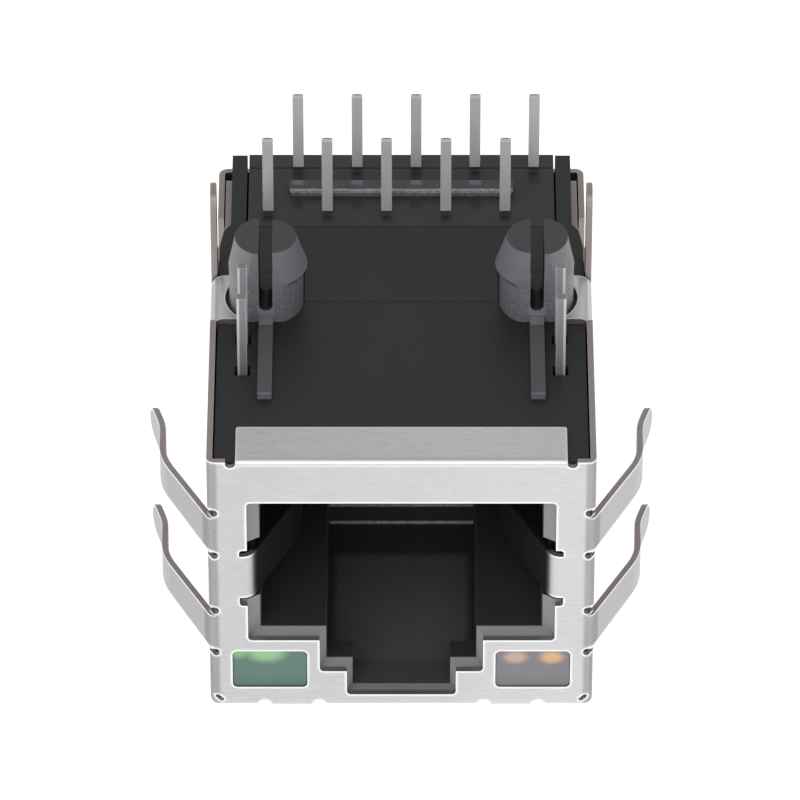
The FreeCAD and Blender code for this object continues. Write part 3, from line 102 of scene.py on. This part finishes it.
# Zones of a moulding with painted light and shade: spans of X, Y and Z, how soft, the colour, how grainy
HOUSING_PAINTED_LIGHT = (
    # Painted light inside the port, and painted pools of light on the middle and the front of its floor
    (((0, 6.3), (-10.4, 3.0), (-13.0, -2.7)), 0.1, (0.055, 0.055, 0.058), 0.1),
    (((0, 2.6), (-8.7, -2.0), (-13.0, -12.7)), 0.5, (0.155, 0.152, 0.163), 0.15),
    (((0, 2.0), (-10.3, -8.7), (-13.0, -12.7)), 0.1, (0.11, 0.11, 0.115), 0.15),
    # Painted highlights on the two far edges inside the port
    (((0, 3.1), (0.3, 0.45), (-11.95, -11.7)), 0.03, (0.70, 0.68, 0.74), 0.5),
    (((0, 3.1), (0.3, 0.45), (-13.0, -12.79)), 0.02, (0.80, 0.79, 0.85), 0.5),
    # Painted highlight on the rim of the port
    (((0, 6.7), (-10.6, -10.26), (-13.0, -2.0)), 0.02, (0.335, 0.33, 0.35), 0.1),
    # Painted light on the seat ribs, and painted highlights on their front ends
    (((5.4, 6.03), (-6.7, -1.4), (-0.28, 0.1)), 0.02, (0.14, 0.14, 0.152), 0.15),
    (((5.4, 6.03), (-6.7, -6.42), (-0.28, 0.1)), 0.02, (0.30, 0.29, 0.33), 0.4),
    # Painted sheen on the posts' stems, cones and tops
    (((3.8, 7.6), (-1.9, 1.9), (-0.28, 1.5)), 0.02, (0.33, 0.328, 0.36), 0.4),
    (((3.8, 7.6), (-1.9, 1.9), (1.5, 3.205)), 0.01, (0.265, 0.265, 0.29), 0.15),
    (((3.8, 7.6), (-1.9, 1.9), (3.225, 3.5)), 0.01, (0.092, 0.092, 0.1), 0.1),
    # Painted highlight on the rim under the posts' slots, and painted shade in the slots
    (((5.40, 6.03), (-1.9, -1.35), (0.14, 0.58)), 0.1, (0.38, 0.37, 0.42), 0.4),
    (((5.42, 6.01), (-1.3, 1.9), (-0.28, 3.5)), 0.02, (0.02, 0.02, 0.021), 0.1),
)
CASE_PAINTED_LIGHT = (
    # Painted highlights on the ridge, on its front, and along the edge between its front and its top
    (((0, 4.85), (7.1, 8.05), (-0.28, 0.1)), 0.02, (0.115, 0.115, 0.125), 0.6),
    (((0, 4.85), (7.1, 7.24), (-0.28, 0.1)), 0.02, (0.27, 0.262, 0.31), 0.6),
    (((0, 4.85), (7.1, 7.36), (-0.10, 0.1)), 0.04, (0.60, 0.57, 0.68), 0.7),
)
# Painted dark reflections of the board pins, and a painted glint on the ridge: a pin's X, the furthest X,
# span of Y, how soft, and the colour
PIN_REFLECTIONS = (
    (0.635, 6.3, (8.15, 9.25), 0.1, (0.008, 0.008, 0.008)),
    (0.635, 4.7, (7.72, 8.02), 0.12, (0.27, 0.26, 0.29)),
    (0.635, 4.7, (6.5, 6.8), 0.25, (0.014, 0.014, 0.014)),
    (-0.635, 6.3, (5.55, 6.15), 0.12, (0.014, 0.014, 0.014)),
)
# How far beside its pin a mark ends, and where it is full
PIN_REFLECTION_REACH = (0.34, 0.14)
# How much of a mark shows where its speckle is thinnest, and where it is fullest
PIN_REFLECTION_SPECKLE = (0.4, 1.0)
# The heights at which the case's board side lies
CASE_TOP = (-0.4, 0.1)

# The tinned pins and leads: dark and light tone, painted highlights on the flanks, beige tips, and a
# painted glint on the leads' outer face
PIN_TONES = ((0.72, 0.74, 0.705), (1.0, 1.0, 0.97))
PIN_FLANK_HIGHLIGHT = (0.80, 0.80, 0.76)
LEAD_TONES = ((0.26, 0.28, 0.31), (0.42, 0.44, 0.48))
LEAD_FLANK_HIGHLIGHT = (0.84, 0.80, 0.70)
LEAD_GLINT = (((6.77, 7.0), (-6.0, -1.0), (-12.0, 4.0)), 0.03)
GLINT_TONE = (0.92, 0.87, 0.76)
TIN_TIP = (0.38, 0.33, 0.285)
TIN_EDGE_HIGHLIGHT = (0.90, 0.87, 0.82)

# The lamps: tone of the body and of its depth, how far under the middle the depth starts and is full,
# and how much haze it has
GREEN_TONES = ((0.10, 0.22, 0.165), (0.06, 0.15, 0.115))
AMBER_TONES = ((0.24, 0.23, 0.245), (0.18, 0.17, 0.185))
DEEP_START = 0.3
DEEP_FULL = 1.1
HAZE_SHARE = 0.35
# Where a lamp glows: X, half width, height above its middle, half height, and the colour
GREEN_SPOTS = (
    (-6.85, 0.45, 0.95, 0.5, (0.24, 0.55, 0.23)),
    (-5.70, 1.0, 0.85, 0.6, (0.34, 0.64, 0.32)),
)
AMBER_SPOTS = (
    (4.81, 0.62, 0.62, 0.42, (0.66, 0.46, 0.36)),
    (6.33, 0.62, 0.62, 0.42, (0.86, 0.50, 0.25)),
)
# A glow ends at the first share of its half sizes, and is full at the second
GLOW_REACH = (1.15, 0.3)


class Finish:
    """A material with one main shader, and short calls for the nodes that vary it."""

    def __init__(self, name, **sockets):
        self.material = bpy.data.materials.new(name)
        self.material.use_nodes = True
        self.tree = self.material.node_tree
        self.shader = self.tree.nodes["Principled BSDF"]
        for socket, value in sockets.items():
            self.shader.inputs[socket.replace("_", " ")].default_value = value

    def node(self, kind, **settings):
        made = self.tree.nodes.new(kind)
        for name, value in settings.items():
            setattr(made, name, value)
        return made

    def join(self, value, socket):
        """Puts a number, a colour or another node's output into a socket."""
        if isinstance(value, bpy.types.NodeSocket):
            self.tree.links.new(value, socket)
        else:
            socket.default_value = value

    def vary(self, socket, value):
        self.join(value, self.shader.inputs[socket])

    def surface(self, shade, grain, rough, depth_mm, strength):
        """Sets the colour, and lets a grain vary the roughness and raise the surface."""
        self.vary("Base Color", shade)
        self.vary("Roughness", self.span(grain, *rough))
        self.vary("Normal", self.bump(grain, depth_mm, strength))

    def math(self, operation, *values):
        made = self.node("ShaderNodeMath", operation=operation)
        for value, socket in zip(values, made.inputs):
            self.join(value, socket)
        return made.outputs[0]

    def times(self, first, second):
        return self.math("MULTIPLY", first, second)

    def place(self):
        """The X, Y and Z of the point, in millimetres."""
        spot = self.node("ShaderNodeTexCoord").outputs["Object"]
        scaled = self.node("ShaderNodeVectorMath", operation="SCALE")
        self.join(spot, scaled.inputs[0])
        self.join(1 / MM, scaled.inputs["Scale"])
        return scaled.outputs[0]

    def split(self, vector):
        made = self.node("ShaderNodeSeparateXYZ")
        self.join(vector, made.inputs[0])
        return made.outputs

    def normal(self):
        return self.node("ShaderNodeNewGeometry").outputs["True Normal"]

    def noise(self, cells, detail=2.0, rough=0.5):
        """Noise with this many cells to a millimetre, the same all ways or along X, Y and Z."""
        if isinstance(cells, float):
            cells = (cells, cells, cells)
        scaled = self.node("ShaderNodeVectorMath", operation="MULTIPLY")
        self.join(self.place(), scaled.inputs[0])
        self.join(cells, scaled.inputs[1])
        made = self.node("ShaderNodeTexNoise")
        self.join(scaled.outputs[0], made.inputs["Vector"])
        for name, value in (("Scale", 1.0), ("Detail", detail), ("Roughness", rough)):
            self.join(value, made.inputs[name])
        return made.outputs["Fac"]

    def step(self, value, low, high):
        """0 below low, 1 above high, and smooth between. With low above high it falls."""
        made = self.node("ShaderNodeMapRange", interpolation_type="SMOOTHSTEP")
        rising = low < high
        ends = (low, high, 0.0, 1.0) if rising else (high, low, 1.0, 0.0)
        self.join(value, made.inputs["Value"])
        for socket, end in zip(("From Min", "From Max", "To Min", "To Max"), ends):
            self.join(end, made.inputs[socket])
        return made.outputs["Result"]

    def span(self, value, low, high):
        """The value's 0 to 1 mapped onto low to high."""
        made = self.node("ShaderNodeMapRange")
        self.join(value, made.inputs["Value"])
        self.join(low, made.inputs["To Min"])
        self.join(high, made.inputs["To Max"])
        return made.outputs["Result"]

    def blend(self, share, first, second, kind="MIX"):
        """The first colour, turning into the second as share goes from 0 to 1."""
        made = self.node("ShaderNodeMix", data_type="RGBA", blend_type=kind)
        self.join(share, made.inputs["Factor"])
        self.join(colour(first), made.inputs[6])
        self.join(colour(second), made.inputs[7])
        return made.outputs[2]

    def tint(self, share, shade, factor):
        """The shade, multiplied by the factor as share goes from 0 to 1."""
        return self.blend(share, shade, factor, "MULTIPLY")

    def bump(self, height, depth_mm, strength):
        made = self.node("ShaderNodeBump")
        self.join(height, made.inputs["Height"])
        self.join(depth_mm * MM, made.inputs["Distance"])
        self.join(strength, made.inputs["Strength"])
        return made.outputs[0]

    def highlight_edge(self, reach_mm, full=0.9):
        """1 on the sharp edges of the piece, and 0 a little way off them: the mask of the painted edge
        highlights.
        """
        soft = self.node("ShaderNodeBevel", samples=BEVEL_SAMPLES)
        self.join(reach_mm * MM, soft.inputs["Radius"])
        dot = self.node("ShaderNodeVectorMath", operation="DOT_PRODUCT")
        self.join(soft.outputs[0], dot.inputs[0])
        self.join(self.normal(), dot.inputs[1])
        return self.step(dot.outputs["Value"], FLAT_FIT, full)

    def zone(self, spans, soft):
        """1 inside a box, given by its spans of X, Y and Z, and 0 outside. X counts on both sides."""
        x, y, z = self.split(self.place())
        share = 1.0
        for value, (low, high) in zip((self.math("ABSOLUTE", x), y, z), spans):
            rise = self.step(value, low - soft, low)
            fall = self.step(value, high + soft, high)
            share = self.times(share, self.times(rise, fall))
        return share


def colour(value):
    """A grey's one number, or three numbers, as a colour with alpha, and a node's output as it is."""
    if isinstance(value, float):
        value = (value, value, value)
    if isinstance(value, tuple):
        return value + (1.0,)
    return value


def brushed_sheet():
    """Tinned sheet with fine brushing across it, along X on the front and along Y on the sides."""
    finish = Finish("brushed_sheet")
    across = finish.noise((2.2, 30.0, 30.0), detail=4.0, rough=0.65)
    along = finish.noise((30.0, 1.1, 30.0), detail=4.0, rough=0.65)
    facing = finish.split(finish.normal())
    side = finish.step(finish.math("ABSOLUTE", facing["X"]), *SIDE_TURN)
    board_side = finish.step(facing["Z"], *BOARD_TURN)
    streaks = finish.blend(side, across, along)
    tone = finish.blend(finish.noise(0.3), SHEET_DARK, SHEET_LIGHT)
    # Painted shade on faces turned sideways, and painted light on faces turned to the board side
    tone = finish.blend(side, tone, SHEET_SIDE_SHADE)
    tone = finish.blend(board_side, tone, SHEET_BOARD_SIDE_LIGHT)
    # Painted light: the sheet grows lighter towards the right
    right = finish.step(finish.split(finish.place())["X"], *RIGHT_SPAN)
    tone = finish.tint(right, tone, RIGHT_PAINTED_LIGHT)
    darkest = finish.span(board_side, *BRUSH_DARK)
    lightest = finish.span(board_side, *BRUSH_LIGHT)
    shade = finish.tint(1.0, tone, finish.span(streaks, darkest, lightest))
    # Painted shade on the side bends and on the side fingers
    shade = finish.tint(finish.zone(*SIDE_BENDS), shade, BEND_SHADE)
    shade = finish.tint(finish.zone(*FINGERS), shade, FINGER_SHADE)
    # Painted highlights along the sheet's edges
    edge = finish.highlight_edge(reach_mm=0.20, full=0.97)
    shade = finish.blend(edge, shade, SHEET_HIGHLIGHT)
    # Painted highlight on the bend between the front and the board side
    front_bend_highlight = finish.times(facing["Z"], finish.math("ABSOLUTE", facing["Y"]))
    shade = finish.blend(finish.step(front_bend_highlight, *FRONT_BEND_TURN), shade, SHEET_HIGHLIGHT)
    # Painted shade on the springs inside the port
    shade = finish.blend(finish.zone(*SPRING_SHADE_ZONE), shade, SPRING_FACE_SHADE)
    finish.surface(shade, streaks, rough=(0.30, 0.46), depth_mm=0.004, strength=0.5)
    # The painted edge highlight is less metallic on the board side, so that its white shows
    finish.vary("Metallic", finish.math("SUBTRACT", 1.0, finish.times(edge, board_side)))
    return finish.material


def sheared_edge():
    """The cut edge of the sheet, duller and warmer than its faces, with marks from the shear, a painted
    highlight on its corners, and painted shade on the springs in the port.
    """
    finish = Finish("sheared_edge", Metallic=0.75)
    marks = finish.noise(9.0, detail=3.0, rough=0.7)
    shade = finish.blend(marks, CUT_DARK, CUT_LIGHT)
    # Painted highlight on the corners of the cut edge
    shade = finish.blend(finish.highlight_edge(reach_mm=0.03), shade, CUT_CORNER_HIGHLIGHT)
    # Painted shade on the springs inside the port
    shade = finish.blend(finish.zone(*SPRING_SHADE_ZONE), shade, SPRING_EDGE_SHADE)
    finish.surface(shade, marks, rough=(0.38, 0.6), depth_mm=0.006, strength=0.5)
    return finish.material


def pin_reflections(finish, shade):
    """Painted dark reflections of the pins on the board side of the case, and a painted glint on the
    ridge, one for each pin.
    """
    x = finish.split(finish.place())["X"]
    speckle = finish.span(finish.noise(9.0, detail=3.0, rough=0.7), *PIN_REFLECTION_SPECKLE)
    for pin_x, far_x, spread, soft, tone in PIN_REFLECTIONS:
        off = finish.math("WRAP", finish.math("SUBTRACT", x, pin_x), PIN_PITCH / 2, -PIN_PITCH / 2)
        share = finish.times(finish.step(finish.math("ABSOLUTE", off), *PIN_REFLECTION_REACH), speckle)
        on_top = finish.zone(((0, far_x), spread, CASE_TOP), soft)
        shade = finish.blend(finish.times(share, on_top), shade, tone)
    return shade


def moulding(name, tones, painted_light_zones=(), marks=None):
    """Black moulded plastic with a fine satin grain, painted highlights along its edges, and painted
    light and shade in some places.
    """
    finish = Finish(name)
    grain = finish.noise(14.0, detail=4.0, rough=0.6)
    flow = finish.noise((0.5, 0.25, 0.5))
    shade = finish.blend(flow, *tones)
    speckle = finish.step(finish.noise(7.0, detail=4.0, rough=0.75), *SPECKLE_SPAN)
    # Painted light and shade, each in its own box
    for spans, soft, tone, grainy in painted_light_zones:
        share = finish.times(finish.zone(spans, soft), finish.span(speckle, 1.0 - grainy, 1.0))
        shade = finish.blend(share, shade, tone)
    # Painted pin reflections and glints, where given
    if marks:
        shade = marks(finish, shade)
    # Painted highlights along the edges, left off on the board-side plane
    on_seams = finish.times(finish.zone(*SEAM_PLANE), MOULDED_HIGHLIGHT_SHARE)
    off_seams = finish.math("SUBTRACT", MOULDED_HIGHLIGHT_SHARE, on_seams)
    edge = finish.times(finish.highlight_edge(reach_mm=0.05), off_seams)
    shade = finish.blend(edge, shade, MOULDED_EDGE_HIGHLIGHT)
    finish.surface(shade, grain, rough=(0.42, 0.58), depth_mm=0.004, strength=0.35)
    return finish.material


def tin(name, tones, flank_highlight, rough, metal, glint=None):
    """Satin tinned metal, drawn lengthways, with a dull oxide bloom, painted highlights on its flanks and
    edges, a painted glint where given, and a beige tip.
    """
    finish = Finish(name, Metallic=metal)
    drawn = finish.noise((24.0, 24.0, 0.6), detail=3.0, rough=0.6)
    bloom = finish.noise((1.6, 1.6, 0.8), detail=3.0)
    shade = finish.blend(finish.blend(0.5, drawn, bloom), *tones)
    facing = finish.split(finish.normal())
    # Painted highlight on the faces turned sideways
    sideways = finish.step(finish.math("ABSOLUTE", facing["X"]), *PIN_TURN)
    shade = finish.blend(sideways, shade, flank_highlight)
    if glint:
        shade = finish.blend(finish.zone(*glint), shade, GLINT_TONE)
    shade = finish.blend(finish.step(facing["Z"], *PIN_TURN), shade, TIN_TIP)
    # Painted highlights along the edges
    edge = finish.highlight_edge(reach_mm=0.05, full=0.93)
    finish.vary("Base Color", finish.blend(edge, shade, TIN_EDGE_HIGHLIGHT))
    finish.vary("Roughness", finish.span(bloom, *rough))
    finish.vary("Normal", finish.bump(drawn, depth_mm=0.003, strength=0.4))
    return finish.material


def lens(name, tones, spots):
    """Cloudy tinted lamp resin: deeper colour low down, and glows where light gathers at its top."""
    finish = Finish(name, Roughness=0.35, Coat_Weight=0.5, Coat_Roughness=0.12,
                    Subsurface_Weight=0.25, Subsurface_Radius=(1.0, 1.0, 1.0),
                    Subsurface_Scale=0.4 * MM)
    body, deep = tones
    place = finish.split(finish.place())
    haze = finish.noise(1.1)
    low = finish.step(place["Z"], -LAMP_DROP - DEEP_START, -LAMP_DROP - DEEP_FULL)
    shade = finish.blend(low, body, deep)
    shade = finish.blend(finish.times(haze, HAZE_SHARE), shade, deep)
    for spot_x, half_width, rise, half_height, glow in spots:
        off = finish.math("DIVIDE", finish.math("SUBTRACT", place["X"], spot_x), half_width)
        height = finish.math("SUBTRACT", place["Z"], -LAMP_DROP + rise)
        drop = finish.math("DIVIDE", height, half_height)
        squares = finish.math("ADD", finish.times(off, off), finish.times(drop, drop))
        far = finish.math("SQRT", squares)
        shade = finish.blend(finish.step(far, *GLOW_REACH), shade, glow)
    finish.vary("Base Color", shade)
    finish.vary("Normal", finish.bump(haze, depth_mm=0.01, strength=0.2))
    return finish.material


def gold():
    """Gold flash on the spring contacts, with faint wiping marks along them."""
    finish = Finish("gold_contact", Metallic=1.0)
    marks = finish.noise((20.0, 0.8, 20.0), detail=3.0)
    shade = finish.blend(marks, (0.86, 0.60, 0.24), (0.98, 0.76, 0.38))
    finish.surface(shade, marks, rough=(0.14, 0.3), depth_mm=0.003, strength=0.3)
    return finish.material


def laminate():
    """Green solder mask over woven glass."""
    finish = Finish("board_laminate", Coat_Weight=0.4, Coat_Roughness=0.15)
    weave_x = finish.noise((5.0, 1.0, 0.5), detail=1.0)
    weave_z = finish.noise((0.5, 1.0, 5.0), detail=1.0)
    weave = finish.blend(0.5, weave_x, weave_z)
    shade = finish.blend(weave, (0.012, 0.10, 0.045), (0.03, 0.17, 0.08))
    finish.surface(shade, weave, rough=(0.3, 0.45), depth_mm=0.01, strength=0.3)
    return finish.material


def ferrite():
    """Dull sintered ferrite, faintly speckled."""
    finish = Finish("ferrite")
    specks = finish.noise(18.0, detail=4.0, rough=0.7)
    shade = finish.blend(specks, (0.02, 0.02, 0.022), (0.07, 0.07, 0.075))
    finish.surface(shade, specks, rough=(0.55, 0.8), depth_mm=0.01, strength=0.5)
    return finish.material


def copper():
    """Enamelled copper wire wound close, seen as fine ribs."""
    finish = Finish("enamelled_copper", Metallic=0.9, Coat_Weight=0.5, Coat_Roughness=0.1)
    ribs = finish.noise((9.0, 1.0, 9.0), detail=1.0)
    shade = finish.blend(ribs, (0.42, 0.13, 0.045), (0.80, 0.33, 0.12))
    finish.surface(shade, ribs, rough=(0.25, 0.4), depth_mm=0.03, strength=0.7)
    return finish.material


def ceramic_chip():
    """Dark fired ceramic with a fine grain."""
    finish = Finish("ceramic_chip")
    specks = finish.noise(12.0, detail=3.0)
    shade = finish.blend(specks, (0.03, 0.03, 0.035), (0.09, 0.09, 0.10))
    finish.surface(shade, specks, rough=(0.35, 0.55), depth_mm=0.005, strength=0.4)
    return finish.material


def wear(node, *materials):
    """Gives a node its materials, in place of the ones that it came with."""
    node.data.materials.clear()
    for material in materials:
        node.data.materials.append(material)
    for face in node.data.polygons:
        face.material_index = 0


def face_width(mesh, face):
    """The height of a triangle over its longest side."""
    spots = [mesh.vertices[i].co for i in face.vertices]
    longest = max((a - b).length for a, b in zip(spots, spots[1:] + spots[:1]))
    return 2 * face.area / longest


def mark_cut_edges(node):
    """Gives the second material to narrow faces with more than the gauge of metal behind them."""
    mesh = node.data
    tree = BVHTree.FromPolygons([v.co for v in mesh.vertices],
                                [tuple(f.vertices) for f in mesh.polygons])
    gauge = SHEET_GAUGE * MM
    for face in mesh.polygons:
        inward = -face.normal
        depth = tree.ray_cast(face.center + inward * RAY_START, inward)[3]
        deep = depth is None or depth > CUT_DEPTH * gauge
        if deep and face_width(mesh, face) < CUT_WIDTH * gauge:
            face.material_index = 1


def dress(nodes):
    """Every node gets its finish by what its name starts with."""
    sheet = brushed_sheet()
    edge = sheared_edge()
    for name in ("front_shield", "rear_cover"):
        wear(nodes[name], sheet, edge)
        mark_cut_edges(nodes[name])
    pins = tin("pin_tin", PIN_TONES, PIN_FLANK_HIGHLIGHT, rough=(0.33, 0.50), metal=0.15)
    leads = tin("lead_tin", LEAD_TONES, LEAD_FLANK_HIGHLIGHT, rough=(0.35, 0.52), metal=0.3, glint=LEAD_GLINT)
    finishes = (
        ("front_housing", moulding("housing_black", HOUSING_TONES, HOUSING_PAINTED_LIGHT)),
        ("contact_insert", moulding("insert_black", INSERT_TONES)),
        ("magnetics_case", moulding("case_black", CASE_TONES, CASE_PAINTED_LIGHT, pin_reflections)),
        ("board_pin", pins),
        (("green_lead", "amber_lead"), leads),
        ("green_led", lens("green_lens", GREEN_TONES, GREEN_SPOTS)),
        ("amber_led", lens("smoke_lens", AMBER_TONES, AMBER_SPOTS)),
        ("contact_wire", gold()),
        ("inner_circuit_board", laminate()),
        (("transformer_core", "choke_core"), ferrite()),
        (("transformer_winding", "choke_winding"), copper()),
        ("chip", ceramic_chip()),
    )
    for name, node in nodes.items():
        for start, material in finishes:
            if name.startswith(start):
                wear(node, material)


def floor(low_z):
    """A plain white floor that glows a little, so that the part's shadow on it stays faint."""
    signs = ((-1, -1), (1, -1), (1, 1), (-1, 1))
    corners = [(x * FLOOR_HALF, y * FLOOR_HALF, low_z) for x, y in signs]
    mesh = bpy.data.meshes.new("floor")
    mesh.from_pydata(corners, [], [(0, 1, 2, 3)])
    made = bpy.data.objects.new("floor", mesh)
    bpy.context.scene.collection.objects.link(made)
    finish = Finish("floor_white", Roughness=0.9, Emission_Color=WHITE, Emission_Strength=FLOOR_GLOW)
    finish.vary("Base Color", finish.blend(finish.noise(0.02), 0.90, 0.94))
    mesh.materials.append(finish.material)


def area_light(name, spot, size, power):
    """A rectangular light that faces the middle of the picture."""
    data = bpy.data.lights.new(name, "AREA")
    data.shape = "RECTANGLE"
    data.size, data.size_y = size
    data.energy = power
    made = bpy.data.objects.new(name, data)
    made.location = spot
    made.rotation_euler = (VIEW_TARGET - Vector(spot)).to_track_quat("-Z", "Y").to_euler()
    bpy.context.scene.collection.objects.link(made)


def lights():
    """A soft box by the camera, a wide one above the back, and an even grey room."""
    for light in LIGHTS:
        area_light(*light)
    world = bpy.data.worlds.new("room")
    bpy.context.scene.world = world
    world.use_nodes = True
    back = world.node_tree.nodes["Background"]
    back.inputs["Color"].default_value = WHITE
    back.inputs["Strength"].default_value = ROOM_STRENGTH


def camera():
    """The photograph's view of the part, through a long lens."""
    data = bpy.data.cameras.new("camera")
    data.angle = 2 * math.atan(PICTURE_PIXELS / 2 / FOCAL_PIXELS)
    data.clip_start = CLIP_START
    data.clip_end = CLIP_END
    made = bpy.data.objects.new("camera", data)
    away = Vector((0.0, -math.cos(VIEW_ELEVATION), math.sin(VIEW_ELEVATION)))
    made.location = VIEW_TARGET + away * VIEW_DISTANCE
    made.rotation_euler = (-away).to_track_quat("-Z", "Y").to_euler()
    bpy.context.scene.collection.objects.link(made)
    bpy.context.scene.camera = made
    bpy.context.scene.view_settings.view_transform = "Standard"


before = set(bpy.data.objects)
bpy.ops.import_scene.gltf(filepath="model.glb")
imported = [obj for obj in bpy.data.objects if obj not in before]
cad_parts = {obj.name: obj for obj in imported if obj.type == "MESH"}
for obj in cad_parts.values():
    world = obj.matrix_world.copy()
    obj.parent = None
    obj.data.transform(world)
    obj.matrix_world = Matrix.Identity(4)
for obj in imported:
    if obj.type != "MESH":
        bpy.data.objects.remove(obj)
cad_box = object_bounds()
camera()
dress(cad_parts)
floor(cad_box[0][2])
lights()
